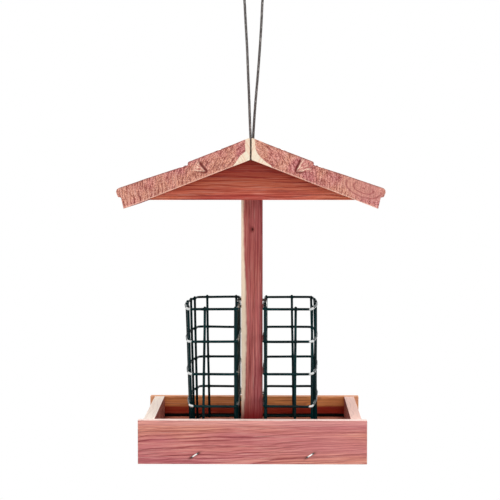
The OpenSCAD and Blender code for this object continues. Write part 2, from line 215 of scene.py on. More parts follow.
class Cedar(Paint):
    """Cedar whose growth rings are tubes round a pith, so that faces and end grain agree.

    u is the way along the grain, and v and w are the ways across it, in mm from the board's middle.
    """

    def __init__(self, name, centre, half, grain, tilt, seed):
        super().__init__(name, 0.6, 0.1)
        order = GRAIN_AXES[grain]
        shift = {"Rotation": (0, tilt, 0), "Scale": (1 / MM,) * 3, "Location": tuple(-c for c in centre)}
        place = self.node("TexCoord", None, None, "Object")
        local = self.split(self.node("Mapping", None, {"Vector": place, **shift}))
        self.u, self.v, self.w = (local[i] for i in order)
        self.half = [half[i] for i in order]
        self.seed = seed
        self.fine = self.cloud(self.u * 0.05 + seed, self.v * 0.16, self.w * 0.16) - 0.5
        self.pores = self.cloud(self.u * 0.3, self.v * 1.3 + seed, self.w * 1.3, 3.0, 0.75)
        facing = {"Vector": self.node("TexCoord", None, None, "Normal"), "Rotation": (0, tilt, 0)}
        self.normal = self.split(self.node("VectorRotate", {"rotation_type": "EULER_XYZ"}, facing))
        self.end = abs(self.normal[order[0]]).step(0.7, 0.9)

    def tint(self, share, tone):
        """Lays a share of a tone over the colour."""
        self.colour = self.mix(share, self.colour, tone if isinstance(tone, Wire) else srgb(*tone))

    def towards(self, share, tone):
        """The colour with a share of a tone in it."""
        return self.mix(share, self.colour, srgb(*tone))

    def grow(self, pith, ring, swing, lean, knots):
        """Draws the rings, which wander along the board and bulge round its knots."""
        u, v, w, seed = self.u, self.v, self.w, self.seed
        wide = self.split(self.cloud(u * 0.011 + seed, v * 0.022, w * 0.022, out="Color"))
        self.across = v - pith[0] + (wide[0] - 0.5) * swing
        self.up = w - pith[1] - u * (0.6 - w / self.half[2] * 0.4) * lean + (wide[1] - 0.5) * swing
        self.radius = (self.across * self.across + self.up * self.up) ** 0.5 + self.fine * 2.2
        for along, aside, deep, size, _ in knots:
            away = ((u - along) / 2.2) ** 2 + (v - aside) ** 2 + ((w - deep) / 6) ** 2
            self.radius = self.radius + (away * (-1 / (size * 2.2) ** 2)).sum("EXPONENT") * size * 1.3
        turn = self.radius / ring + self.cloud(self.radius * 0.07, seed, 0.0, 1.0) * 5
        late = self.node("ValToRGB", {"stops": LATE_WOOD}, {0: turn.sum("FRACT")})
        year = self.node("TexWhiteNoise", {"noise_dimensions": "1D"}, {"W": turn.sum("FLOOR")})
        patch = self.cloud(u * 0.025 + seed, v * 0.14 + 3, w * 0.14).step(0.3, 0.62)
        self.late = late * (year * 0.5 + 0.5) * (patch * 0.4 + 0.6)

    def face_grain(self, tones, late, lean):
        """Colours broad casts, the rings' late wood, fibres and streaks."""
        u, v, w, seed = self.u, self.v, self.w, self.seed
        early, dark, warm, cool = tones
        cast = self.cloud(u * 0.007 + seed * 2, v * 0.06, w * 0.06)
        self.colour = self.mix(cast.step(0.44, 0.62), srgb(*early), srgb(*warm))
        self.tint(cast.step(0.50, 0.34), cool)
        self.tint(self.late * late, dark)
        self.fibre = self.cloud(u * 0.035 + seed, v * 1.3, w * 1.3 - u * 0.5 * lean, 3.0, 0.7)
        self.tint(self.fibre.step(0.5, 0.33) * 0.48, dark)
        self.tint(self.fibre.step(0.5, 0.7) * 0.5, self.towards(0.45, FIBRE_PALE))
        streak = self.cloud(u * 0.012 + seed * 3, v * 2.1, w * 2.1 - u * 0.8 * lean, 1.0)
        self.tint(streak.step(0.57, 0.64) * 0.75, dark)

    def stain(self, marks):
        """Lays soft oval marks on: each has its place along and up, length, width, turn, share and tone."""
        for start, level, length, width, turn, share, tone in marks:
            run, rise = self.u - start, self.w - level
            along = run * math.cos(turn) + rise * math.sin(turn) + self.fine
            aside = rise * math.cos(turn) - run * math.sin(turn) + self.fine
            off = (along / length) ** 2 + (aside / width) ** 2
            self.tint((off * -1).sum("EXPONENT") * share, tone)

    def end_grain(self, dark):
        """Makes the end grain coarser, with pores and with streaks that follow the rings."""
        turn = self.across.sum("ARCTAN2", self.up)
        streak = self.cloud(self.radius * 0.8, turn * 9 + self.seed, self.u * 0.2, 2.0, 0.6)
        bright = self.towards(0.5, END_PALE)
        self.tint(self.end * streak.step(0.5, 0.36) * 0.7, dark)
        self.tint(self.end * streak.step(0.52, 0.68) * 0.5, bright)
        self.tint(self.end * self.pores.step(0.49, 0.36) * 0.8, dark)
        self.tint(self.end * self.pores.step(0.52, 0.66) * 0.7, bright)

    def sapwood(self, sap):
        """Lays sapwood on, whose own late wood and pores show a little."""
        pale, cover = sap(self)
        self.tint(cover, self.mix(self.late * 0.2 + self.pores.step(0.5, 0.3) * 0.15, pale, srgb(*SAP_LATE)))

    def draw_knots(self, knots):
        """Draws knots: each has its place along and across, its depth, its size and how dark its heart is."""
        for along, aside, deep, size, dark in knots:
            away = (((self.u - along) / 1.5) ** 2 + (self.v - aside) ** 2) ** 0.5 + self.fine * 0.5
            near = abs(self.w - deep).step(6, 4)
            self.tint(away.step(size * 2.2, size * 0.9) * near * 0.55, KNOT_RIM)
            self.tint(away.step(size, size * 0.4) * near * dark, KNOT_HEART)

    def rub_arrises(self, wear):
        """Makes the arrises paler, as they are where they wear."""
        gaps = [h - abs(c) for h, c in zip(self.half, (self.u, self.v, self.w))]
        least = gaps[0].sum("MINIMUM", gaps[1]).sum("MINIMUM", gaps[2])
        most = gaps[0].sum("MAXIMUM", gaps[1]).sum("MAXIMUM", gaps[2])
        from_edge = gaps[0] + gaps[1] + gaps[2] - least - most + self.fine * 0.8
        patch = self.cloud(self.u * 0.09 + self.seed, self.v * 0.4, self.w * 0.4)
        self.tint(from_edge.step(0.9, 0.1) * patch.step(0.35, 0.6) * wear, self.towards(0.5, RUBBED))

    def sawn_top(self):
        """Draws saw marks and fuzz on a rough-sawn top, and gives their relief.

        At the board's ends the sawn face's torn edge is dark, and the planed underside's edge is pale.
        """
        top = self.normal[2].step(0.75, 0.93)
        mark = self.cloud(self.u * 0.9 + self.v * 0.05, self.v * 0.03, self.seed, 2.0, 0.6)
        fuzz = self.cloud(self.u * 0.5, self.v * 1.7, self.w, 3.0, 0.7)
        dusty = mark.step(0.35, 0.7) * 0.35 + fuzz.step(0.4, 0.75) * 0.25
        self.tint(top * dusty, self.towards(0.5, SAWN_DARK))
        level = self.painted("level") + self.fine * 0.03
        inner = self.end * abs(self.v).step(50, 48)
        self.tint(inner * level.step(0.925, 0.985) * 0.6, TORN_EDGE)
        self.tint(inner * level.step(0.07, 0.02) * 0.45, PLANED_EDGE)
        return top * (mark * 1.6 + fuzz * 1.5)


def cedar(name, centre, half, grain, pith, tones, ring, seed, tilt=0.0, swing=9.0, late=0.8, lean=0.0,
          sap=None, knots=(), marks=(), shade=None, sawn=False, wear=0.45, lit_top=None):
    """The cedar of one board.

    centre and half are the board's middle and half size in mm along x, y and z, once it is turned by tilt
    about y. grain is the axis that the fibres follow, and pith the way from the middle to the tree's middle
    along the two other axes, which moves by lean for each mm along the grain. ring is the width of a year's
    ring, and swing how far the rings wander. tones are four colours: early wood, late wood, a warm cast and a
    cool one, and late is how strong the late wood is. sap gives the sapwood's colour and where it lies, and
    shade tints the board in its own way. wear is how far the arrises are rubbed pale. The last argument is a
    paler colour that is painted on the top face as light from above, if the board has one.
    """
    wood = Cedar(name, centre, half, grain, tilt, seed)
    wood.grow(pith, ring, swing, lean, knots)
    wood.face_grain(tones, late, lean)
    wood.stain(marks)
    wood.end_grain(tones[1])
    if sap:
        wood.sapwood(sap)
    wood.draw_knots(knots)
    if shade:
        shade(wood)
    wood.rub_arrises(wear)

    # Late wood stands up, fibres run along it, and saw marks cross a sawn face
    height = wood.late * 0.35 + wood.fibre * 0.45 + wood.pores * wood.end * 0.5
    if sawn:
        height = height + wood.sawn_top()
    rough = 0.56 + wood.fibre * 0.22 - wood.late * 0.08
    # painted light: the top face is tinted paler, as light from above falls on it, and is made smoother
    if lit_top:
        top = wood.normal[2].step(0.6, 0.9)
        wood.tint(top * (0.85 - wood.late * 0.25), lit_top)
        rough = rough - top * 0.18
    return wood.finish({"Base Color": wood.colour, "Roughness": rough}, height)


# Cord

# The route repeats the one in the part's source, in mm: places across the strands and shares of the hang
HANG_RISE = 122.6
PEAK = -139.109  # the post's top
POST_X = -1.1
LEFT_STRAND = [(-2.9, -0.9, 0.88), (-3.5, -0.6, 0.734), (-4.4, -0.3, 0.555), (-5.2, 0, 0.39),
               (-6.2, 0, 0.245), (-7, 0, 0.122)]
RIGHT_STRAND = [(7, 0, 0.122), (6.3, 0, 0.245), (5.2, 0, 0.39), (3.7, 0.3, 0.555), (1.8, 0.6, 0.734),
                (0.5, 0.9, 0.88)]
LOOP_TOP = [(-7.4, -6.3), (-6.4, -2.6), (-3.7, 0.1), (0, 1.1), (3.7, 0.1), (6.4, -2.6), (7.4, -6.3)]
FOOT = [PEAK - 14.9, PEAK - 7, PEAK + 5, -HANG_RISE]
LEFT_FOOT, RIGHT_FOOT = (POST_X - 1.2, -1), (POST_X + 0.8, 1)
ROUTE_STEPS = 12
CORD_R = 1.1
CORD_GAP, CORD_SIDES = 0.3, 20  # how finely the cord's mesh is divided
YARNS = 4  # crossings round the cord
BRAID_PITCH = 2.6
BRAID_DEPTH = 0.16


def cord_route():
    """The cord's middle line: up the left strand, over the loop's top and down the right strand."""
    left = [(x, y, -share * HANG_RISE) for x, y, share in LEFT_STRAND]
    right = [(x, y, -share * HANG_RISE) for x, y, share in RIGHT_STRAND]
    rise = [(*LEFT_FOOT, z) for z in FOOT]
    fall = [(*RIGHT_FOOT, z) for z in reversed(FOOT)]
    return [Vector(p) for p in rise + left + [(x, 0, z) for x, z in LOOP_TOP] + right + fall]


def smooth_line(route, steps):
    """The curve that the part's source draws through the same points."""
    line, last = [], len(route) - 1
    for i in range(last):
        a, b, c, d = route[max(i - 1, 0)], route[i], route[i + 1], route[min(i + 2, last)]
        for k in range(steps):
            t = k / steps
            line.append(b + (c - a) * t / 2 + (2 * a - 5 * b + 4 * c - d) * t ** 2 / 2
                        + (3 * b - a - 3 * c + d) * t ** 3 / 2)
    return line + [route[-1]]


def even_line(line, gap):
    """The same line in points a gap apart."""
    out, over = [line[0]], 0.0
    for a, b in zip(line, line[1:]):
        run = (b - a).length
        at = gap - over
        while at <= run:
            out.append(a.lerp(b, at / run))
            at += gap
        over = run - (at - gap)
    return out + [line[-1]]


def wire_mesh(name, lines, radius, sides, closed=False, swell=None):
    """A mesh of round wires along lines of points in mm.

    swell gives the share of the radius at a point, from the line's number, the point's number and its place.
    """
    curve = bpy.data.curves.new(name + "_line", "CURVE")
    curve.dimensions = "3D"
    curve.bevel_mode = "ROUND"
    curve.bevel_depth = radius * MM
    curve.bevel_resolution = sides // 4 - 1
    curve.use_fill_caps = True
    for n, line in enumerate(lines):
        spline = curve.splines.new("POLY")
        spline.points.add(len(line) - 1)
        spline.use_cyclic_u = closed
        for i, (point, at) in enumerate(zip(spline.points, line)):
            point.co = (*(at * MM), 1)
            point.radius = swell(n, i, at) if swell else 1.0
    drawn = bpy.data.objects.new(name + "_line", curve)
    scene.collection.objects.link(drawn)
    view = bpy.context.evaluated_depsgraph_get()
    mesh = bpy.data.meshes.new_from_object(drawn.evaluated_get(view))
    bpy.data.objects.remove(drawn)
    mesh.name = name
    mesh.materials.clear()
    return mesh


def mark_points(mesh, name, values):
    """Keeps a value at each point of a mesh, for its material."""
    mesh.attributes.new(name, "FLOAT", "POINT").data.foreach_set("value", values)


def add_piece(name, mesh, material, body, slot, *nodes, smooth=True):
    """Puts a finished mesh in the scene on its body, in the place of its CAD nodes."""
    piece = bpy.data.objects.new(name, mesh)
    scene.collection.objects.link(piece)
    mesh.materials.append(material)
    if smooth:
        mesh.shade_smooth()
    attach(piece, body)
    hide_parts(*nodes)
    return piece


def cord_paint():
    """Grey yarns, each of its own shade, with painted shade where they dip under each other, and a soft
    fluff.
    """
    paint = Paint("braided_cord", 0.85, 0.2)
    x, y, z = paint.spot()
    fluff = paint.cloud(x * 9000, y * 9000, z * 4000, 3.0, 0.7)
    colour = paint.mix(paint.painted("yarn"), srgb(82, 79, 78), srgb(158, 154, 151))
    # painted shade in the crevices where the yarns dip under each other
    colour = paint.mix(paint.painted("lay").step(0.7, 0.05), colour, srgb(36, 34, 34))
    colour = paint.mix(fluff.step(0.45, 0.75) * 0.5, colour, srgb(84, 78, 74))
    return paint.finish({"Base Color": colour, "Roughness": 0.8 + fluff * 0.15}, fluff, 0.1 * MM, 0.5)


def braided_cord():
    line = even_line(smooth_line(cord_route(), ROUTE_STEPS), CORD_GAP)
    mesh = wire_mesh("cord", [line], CORD_R, CORD_SIDES)
    around = len(mesh.vertices) // len(line)
    lays, yarns, dents = [], [], []
    for i, vertex in enumerate(mesh.vertices):
        along, turn = divmod(i, around)
        one = YARNS * turn / around + along * CORD_GAP / BRAID_PITCH
        two = YARNS * turn / around - along * CORD_GAP / BRAID_PITCH
        high = 0.5 + 0.5 * math.sin(2 * math.pi * one) * math.sin(2 * math.pi * two)
        lays.append(min(1, high * 1.4))
        yarns.append(noise.cell(Vector((math.floor(one * 2), math.floor(two * 2), 0.5))))
        dents.append(vertex.normal * (high - 1) * BRAID_DEPTH * MM)
    mark_points(mesh, "lay", lays)
    mark_points(mesh, "yarn", yarns)
    for vertex, dent in zip(mesh.vertices, dents):
        vertex.co += dent
    piece = add_piece("cord", mesh, cord_paint(), "feeder", "cord", "hanger_cord")
    [p * MM for p in line[::10] + [line[-1]]]
    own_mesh(piece)


braided_cord()

# Boards

MERGE = 0.002  # mm between points that are one
CUT_NEAR = 1e-7  # m between a point and a cut through it


def merged(node):
    """A copy of a CAD node's solid, with its loose triangles joined to flat faces."""
    shape = bmesh.new()
    shape.from_mesh(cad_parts[node].data)
    bmesh.ops.remove_doubles(shape, verts=shape.verts, dist=MERGE * MM)
    bmesh.ops.dissolve_limit(shape, angle_limit=math.radians(0.5), verts=shape.verts, edges=shape.edges)
    return shape


def round_off(shape, edges, width):
    """Rounds edges off by a width in mm."""
    bmesh.ops.bevel(shape, geom=edges, offset=width * MM, offset_type="OFFSET", affect="EDGES", segments=2,
                    profile=0.5, material=-1, clamp_overlap=True)


def divide(shape, axis, gap):
    """Cuts a shape right through along an axis, about a gap in mm apart."""
    low = min(v.co.dot(axis) for v in shape.verts)
    high = max(v.co.dot(axis) for v in shape.verts)
    count = int((high - low) / (gap * MM))
    for i in range(1, count):
        at = low + (high - low) * i / count
        geometry = [*shape.verts, *shape.edges, *shape.faces]
        bmesh.ops.bisect_plane(shape, geom=geometry, dist=CUT_NEAR, plane_co=axis * at, plane_no=axis)


def to_mesh(name, shape):
    mesh = bpy.data.meshes.new(name)
    shape.to_mesh(mesh)
    shape.free()
    return mesh


def hand(side):
    return "left" if side < 0 else "right"


def middle(node):
    """The middle and the half size of a node in mm."""
    low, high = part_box(node)
    return tuple((low + high) / 2 / MM), tuple((high - low) / 2 / MM)


PITCH = math.radians(21.1)
RIDGE_TOP, ROOF_SEAT = 252.441, 236.2  # heights above the tray's underside
BASE = -HANG_RISE - RIDGE_TOP  # the tray's underside
SEAT = Vector((POST_X, 0, BASE + ROOF_SEAT))  # the ridge of the roof's underside
# Early wood, late wood, a warm cast and a cool one
TRAY_TONES = ((198, 121, 116), (114, 38, 46), (202, 130, 112), (184, 106, 109))
# The floor's tones are darker than the other tray boards', partly as painted shade deep in the tray
FLOOR_TONES = ((168, 92, 74), (104, 40, 34), (176, 102, 74), (146, 74, 64))
ROOF_TONES = ((221, 145, 130), (112, 38, 38), (222, 155, 129), (201, 118, 118))
GABLE_TONES = ((212, 114, 88), (116, 28, 26), (217, 123, 91), (189, 84, 72))
POST_TONES = ((205, 113, 111), (118, 42, 48), (205, 116, 106), (187, 93, 97))
BACK_TONES = ((230, 150, 92), (162, 82, 52), (238, 162, 98), (214, 128, 84))
# Painted light: the paler colour of each tray board's top face, where light from above falls on it
LIT_TOP_TINT = {"tray_front": (255, 234, 224), "tray_back": (222, 158, 118), "tray_left": (255, 246, 232),
         "tray_right": (250, 213, 199)}
RIDGE_PALE, RIDGE_LATE, JOINT_DARK = (234, 221, 198), (222, 170, 142), (16, 14, 10)
POST_PALE = (255, 234, 208)
ROOF_HALF = (52.5, 88.9, 8.0)  # half a roof board: down its slope, along its ridge and through it
ROOF_PITH = (52.6, -28.6)  # the tree's middle from the board's: how far up the slope, and how high
WAVER_CUT = 1.6  # how finely a roof board is divided, so that its top can waver
RIDGE_SMOOTH = 4  # how far down the slope the ridge stays even
# The sapwood's edge in the end grain: mm below the board's top, and mm down the slope from the ridge
RIDGE_SAP = {-1: [(0, -1.9), (8.8, 1.8), (10.1, 5.6), (11.8, 8.5), (13.8, 11.6), (15.2, 14), (16, 14.6)],
             1: [(0, -3.6), (1, -3), (6.7, 0.2), (10.1, 3.3), (12.2, 7.4), (13.9, 12.7), (14.6, 15.7),
                 (16, 17.5)]}
SAP_REACH, SAP_START = 25.0, -5.0
# The width in mm of the sapwood on the post's left edge, at heights above its middle
POST_SAP = [(-107, 1.4), (-94, 1.6), (-80, 2.3), (-66, 3.1), (-24, 3.4), (4, 3.3), (18, 2.7), (46, 1.4),
            (109, 0.8)]
SAP_SPAN, SAP_WIDEST = 220, 6  # the spans of those heights and widths
POST_HALF = middle("post")[1][0]  # half the post's width
# The branch's wedge: its tip down the slope and above the underside, its half width per mm, and its turn
WEDGE = {-1: (34.2, 2.6, 0.44, math.radians(49.5)), 1: (35.0, 2.8, 0.64, math.radians(56.5))}
WEDGE_DARK, WEDGE_PALE, WEDGE_LINE = (188, 112, 104), (248, 216, 190), (96, 26, 28)
# The right eave's rings: their middle down the slope and above the underside, half heights and stretch
SWIRL, SWIRL_RINGS, SWIRL_STRETCH = (88.0, 10.6), (3.8, 6.6), 2.1
SWIRL_PINK, SWIRL_LINE = (202, 140, 128), (136, 58, 60)


def ridge_sap(side):
    """Cream sapwood at the ridge end of a roof board, edged by a curve, and the dark joint of the boards."""
    stops = [(deep / (2 * ROOF_HALF[2]), (way - SAP_START) / SAP_REACH) for deep, way in RIDGE_SAP[side]]

    def sap(wood):
        way = wood.v * side + ROOF_HALF[0]
        deep = (ROOF_HALF[2] - wood.w) / (2 * ROOF_HALF[2])
        border = wood.node("ValToRGB", {"stops": stops, "ramp": "B_SPLINE"}, {0: deep})
        border = border * SAP_REACH + SAP_START
        from_joint = way * math.cos(PITCH) + (wood.w + ROOF_HALF[2]) * math.sin(PITCH)
        streak = wood.cloud(way * 1.3 + deep * 3, wood.u * 0.3, side * 5.0, 3.0, 0.7)
        pale = wood.mix(streak.step(0.52, 0.34) * 0.6, srgb(*RIDGE_PALE), srgb(*RIDGE_LATE))
        pale = wood.mix(from_joint.step(1.1, 0.4), pale, srgb(*JOINT_DARK))
        return pale, (way - border + wood.fine * 2).step(0.6, -0.4)
    return sap


def post_sap(wood):
    """Cream sapwood down the left edge of the post, widest in its middle."""
    stops = [(up / SAP_SPAN + 0.5, wide / SAP_WIDEST) for up, wide in POST_SAP]
    reach = wood.node("ValToRGB", {"stops": stops}, {0: wood.u / SAP_SPAN + 0.5}) * SAP_WIDEST
    wave = wood.cloud(wood.u * 0.15, 7.0, wood.w * 0.03) - 0.5
    return srgb(*POST_PALE), (wood.v + POST_HALF - reach - wave * 1.2 - wood.fine * 1.4).step(1.5, -0.6)


def eave_swirl(wood, way, height):
    """Thin oval rings round a branch near the right eave, in smooth pink end grain."""
    up = height - SWIRL[1]
    ring = (((way - SWIRL[0]) / SWIRL_STRETCH) ** 2 + up ** 2) ** 0.5 + wood.fine * 0.9
    near = abs(abs(wood.u) - ROOF_HALF[1]).step(1.5, 0.7)
    wood.tint(ring.step(10, 6) * near * 0.6, SWIRL_PINK)
    lines = ring.step(0.9, 0.4)
    for radius in SWIRL_RINGS:
        lines = lines.sum("MAXIMUM", abs(ring - radius).step(0.6, 0.15) * up.step(3.0, 0.5))
    wood.tint(lines * near * 0.55, SWIRL_LINE)


def step_wedge(side):
    """The pale wedge of a branch in the end grain beside the step, between dark lines."""
    tip_way, tip_height, spread, turn = WEDGE[side]
    run, rise = math.cos(turn), math.sin(turn)

    def draw(wood):
        way, height = wood.v * side + (ROOF_HALF[0] - tip_way), wood.w + (ROOF_HALF[2] - tip_height)
        along = way * run + height * rise
        across = height * run - way * rise + wood.fine * 1.4
        near = abs(abs(wood.u) - ROOF_HALF[1]).step(14, 8)
        width = along * spread
        inside = (width - abs(across)).step(-0.1, 0.9) * along.step(0.0, 1.0) * along.step(13, 8) * near
        fan = wood.cloud(along * 0.2, across / (along + 3) * 9, side * 4.0, 2.0, 0.65)
        pale = wood.mix(fan.step(0.42, 0.6), srgb(*WEDGE_DARK), srgb(*WEDGE_PALE))
        wood.tint(inside * (0.35 + fan.step(0.3, 0.62) * 0.6), pale)
        over = abs(across - width).step(1.7, 0.4) * along.step(0.0, 0.8) * along.step(12, 8) * near
        under = abs(across + width).step(1.5, 0.3) * along.step(0.0, 0.8) * along.step(9, 4) * near
        wood.tint(over.sum("MAXIMUM", under * 0.85) * 0.9, WEDGE_LINE)
        if side > 0:
            eave_swirl(wood, wood.v * side + ROOF_HALF[0], wood.w + ROOF_HALF[2])
    return draw


def roof_board(side):
    """A roof board with a rough-sawn top, whose surface and edges waver a little."""
    name = "roof_board_" + hand(side)
    down = Vector((side * math.cos(PITCH), 0, -math.sin(PITCH)))
    up = Vector((side * math.sin(PITCH), 0, math.cos(PITCH)))
    shape = merged(name)
    for axis in (Vector((0, 1, 0)), down):
        divide(shape, axis, WAVER_CUT)
    levels = []
    for vertex in shape.verts:
        at = vertex.co / MM
        height = (at - SEAT).dot(up)
        run = (at - SEAT).dot(down)
        levels.append(1.0 if height > ROOF_HALF[2] else 0.0)
        top = clamp((height - ROOF_HALF[2]) / 4) if run > RIDGE_SMOOTH else 0.0
        saw = noise.noise(Vector((at.y * 0.45, run * 0.02, side * 3)))
        tuft = noise.noise(Vector((at.y * 0.9, run * 0.9, side * 7 + height * 0.2)))
        lump = noise.noise(Vector((at.y * 0.03, run * 0.06, side * 11)))
        sink = 0.16 + 0.1 * saw + 0.14 * tuft + 0.12 * lump
        vertex.co -= up * max(0.0, sink) * top * MM
    mesh = to_mesh(name + "_cedar", shape)
    mark_points(mesh, "level", levels)
    turned_x = SEAT.x * math.cos(PITCH) - side * SEAT.z * math.sin(PITCH)
    turned_z = side * SEAT.x * math.sin(PITCH) + SEAT.z * math.cos(PITCH)
    centre = (turned_x + side * ROOF_HALF[0], 0, turned_z + ROOF_HALF[2])
    pith = (-side * ROOF_PITH[0], ROOF_PITH[1])
    material = cedar(name + "_cedar", centre, ROOF_HALF, "Y", pith, ROOF_TONES, ring=1.9, seed=4.0 + side,
                     tilt=-PITCH * side, swing=12, late=0.9, sap=ridge_sap(side), shade=step_wedge(side),
                     sawn=True)
    add_piece(name + "_cedar", mesh, material, "roof", "roof_wood", name, smooth=False)


roof_board(-1)
roof_board(1)

SHARP = math.radians(40)
SHORT = 7.5  # mm, the longest arris that stays sharp
ARRIS = 0.35


def board(node, body, slot, grain, pith, tones, **more):
    """A planed board, whose long outer arrises are rounded off."""
    centre, half = middle(node)
    material = cedar(node + "_cedar", centre, half, grain, pith, tones, lit_top=LIT_TOP_TINT.get(node), **more)
    shape = merged(node)
    arrises = [e for e in shape.edges if len(e.link_faces) == 2 and e.is_convex
               and e.calc_face_angle() > SHARP and e.calc_length() > SHORT * MM]
    round_off(shape, arrises, ARRIS)
    add_piece(node + "_cedar", to_mesh(node + "_cedar", shape), material, body, slot, node, smooth=False)


# The staples in the front board: how far out, how high, half their crown and its tilt
STAPLE_OUT, STAPLE_UP, STAPLE_HALF, STAPLE_TILT = 44.8, -10.2, 3.5, math.radians(32)


def staple_marks():
    """Dark wood where a tilted staple's legs go in, partly painted shade in the holes, and a faint painted
    shadow round its crown.
    """
    run, rise = STAPLE_HALF * math.cos(STAPLE_TILT), STAPLE_HALF * math.sin(STAPLE_TILT)
    marks = []
    for x in (-STAPLE_OUT, STAPLE_OUT):
        for end in (-1, 1):
            # dark wood and painted shade in the holes of the legs
            marks.append((x + end * run, STAPLE_UP + end * rise, 1.5, 0.95, STAPLE_TILT, 0.95, (44, 14, 14)))
        # a faint painted shadow under and round the crown
        marks.append((x, STAPLE_UP, 5.4, 1.1, STAPLE_TILT, 0.6, (120, 58, 54)))
    return marks


# How far the middle of a side board is from the middle of the back board
SIDE_BOARD = middle("tray_right")[0][0] - middle("tray_back")[0][0]


def tray_shadow(wood):
    """Paints shade on the back board: darker and redder low down inside the tray, where the front board
    shades it.

    Its ends outside the side boards are paler, and a black line of painted shade lies in the corner where it
    meets the floor.
    """
    inner = wood.normal[1].step(-0.7, -0.95) * abs(wood.u).step(SIDE_BOARD + 0.5, SIDE_BOARD)
    # painted shade: the lower inside of the back board, shaded by the front board
    wood.tint(inner * (wood.w + wood.fine * 2).step(10.0, 7.5) * 0.88, (142, 8, 10))
    wood.tint(abs(wood.u).step(SIDE_BOARD + 3.0, SIDE_BOARD + 4.0) * 0.5, (204, 158, 128))
    # painted shade: a black line in the corner along the floor
    wood.tint(inner * (wood.w + wood.fine).step(3.1, 2.0), (6, 0, 0))


def gable_shadow(wood):
    """Paints shade on a gable: dark red at its top, where the roof over it shades it."""
    # painted shade under the roof's overhang
    wood.tint((wood.w + wood.fine * 3).step(-19, 12) * 0.77, (116, 4, 14))


def post_shadow(wood):
    """Draws the post darker in the tray, down its right edge, and a little under the roof."""
    height = wood.u + wood.fine * 3
    high = height.step(-18, 25) * wood.v.step(1 - POST_HALF, 5 - POST_HALF) * 0.27
    right = wood.v.step(POST_HALF - 1.8, POST_HALF - 0.6) * 0.4
    wood.tint(high.sum("MAXIMUM", right), (92, 12, 14))
    wood.tint(height.step(-81, -100) * 0.9, (126, 10, 12))


GABLE_NICK = (57.3, 6.6, 1.2, 0.7, 0.0, 0.9, (250, 232, 214))
POST_KNOT = (53.8, 0.6, -19, 1.05, 0.95)
# A dark crack, a painted highlight along the top, a cool patch at the left and a warm one at the right
TRAY_MARKS = [(2, 12.6, 9, 0.7, 0.0, 0.6, (120, 44, 44)), (0, 15.2, 400, 2.6, 0.0, 0.4, (240, 176, 168)),
              (-70, 2, 12, 4, 0.0, 0.35, (176, 92, 108)), (64, -2, 32, 17, 0.0, 0.3, (216, 146, 138))]

board("gable_front", "roof", "gable_wood", "X", (28, 26), GABLE_TONES, ring=2.6, seed=11.0, late=0.95,
      wear=0.1, marks=[GABLE_NICK], shade=gable_shadow)
board("gable_back", "roof", "gable_wood", "X", (-34, -20), GABLE_TONES, ring=2.3, seed=12.5, late=0.95,
      wear=0.1, shade=gable_shadow)
board("post", "feeder", "post_wood", "Z", (40, 30), POST_TONES, ring=2.4, seed=21.0, swing=4, late=0.9,
      wear=0.05, sap=post_sap, knots=[POST_KNOT], shade=post_shadow)
board("tray_front", "feeder", "tray_wood", "X", (30, -44), TRAY_TONES, ring=2.5, seed=31.0, swing=12,
      late=0.95, lean=0.09, marks=staple_marks() + TRAY_MARKS)
board("tray_back", "feeder", "tray_wood", "X", (-40, 22), BACK_TONES, ring=1.7, seed=35.0, shade=tray_shadow)
board("tray_left", "feeder", "tray_wood", "Y", (26, -30), TRAY_TONES, ring=1.7, seed=38.0)
board("tray_right", "feeder", "tray_wood", "Y", (-30, -36), TRAY_TONES, ring=1.7, seed=42.0)
board("tray_floor", "feeder", "tray_wood", "X", (10, 60), FLOOR_TONES, ring=1.8, seed=45.0)

# Cages

WIRE_R = 1.05
WIRE_SIDES = 12
MESH = 25.4  # between the welded wires
UPRIGHTS = 13
# A ring: where its inner side is, the middles of its corners, inner, outer and across, and their radius
RING_IN, CORNER_IN, CORNER_OUT, CORNER_Y, CORNER_R = 10.05, 15.05, 42.05, 59.05, 5.0
BOW_R = 400.0  # of the bowed outer side
BOW_X = CORNER_OUT - math.sqrt((BOW_R - CORNER_R) ** 2 - CORNER_Y ** 2)
BOW_TURN = math.asin(CORNER_Y / (BOW_R - CORNER_R))
FLOOR_T = 17  # of the tray's floor
CAGE_FOOT = BASE + FLOOR_T
CAGE_TALL = 102  # over which the lean of the mesh grows
RING_Z = [CAGE_FOOT + WIRE_R + i * MESH for i in range(5)]
RING_WAVE = 0.35  # how far a ring wavers up and down
RING_GAP = 0.9  # between the points of a ring's line
TIP = 2.0  # how far the uprights stand out above the highest ring
UPRIGHT_IN = 1.8  # from the middle of a ring's wire to the middle of an upright
UPRIGHT_CUTS = 110
FOOT_CUT, TOP_CUT = 0.3, 0.9  # the ends of an upright that are rounded
PRESSED, PRESS_REACH = 0.9, 5  # how far uprights are pressed towards the post, and how near to it
# Shares of the wire's radius: between the welds, and what a weld adds, which reaches so far along the wire
THIN, RING_SWELL, UPRIGHT_SWELL, WELD_REACH = 0.97, 0.14, 0.12, 1.3
# Where a ring's front outer corner is glossier and painted pale as a highlight, in mm from its start, and
# over how much that comes and goes
BEND, BEND_IN, BEND_OUT = (29.2, 39.0), 0.9, 2.7
SEAMS = {-1: 139.5, 1: 316.5}  # the way round each cage's ring to its first upright
# How far the bent mesh of each cage stands off its drawn place, outwards in mm. back and front are for its
# top, back_out and back_in for the ends of its back away from the post and beside it, and front_in for the
# end of its front beside the post. out moves the outer side, and spread its back. ring_side and upright_side
# bow the outer side's middle, and front_wire is for the foot and the top of the front's middle uprights.
LEAN = {-1: {"back": 2.0, "front": 3.2, "back_out": -1.6, "back_in": 1.0, "front_in": 0.6, "out": 0.0,
             "spread": 0.0, "ring_side": -1.2, "upright_side": 0.0, "front_wire": (1.6, -1.2)},
        1: {"back": -1.3, "front": 0.0, "back_out": 0.8, "back_in": 0.2, "front_in": -0.2, "out": 0.7,
            "spread": 3.2, "ring_side": 0.0, "upright_side": 1.3, "front_wire": (-0.9, -0.4)}}


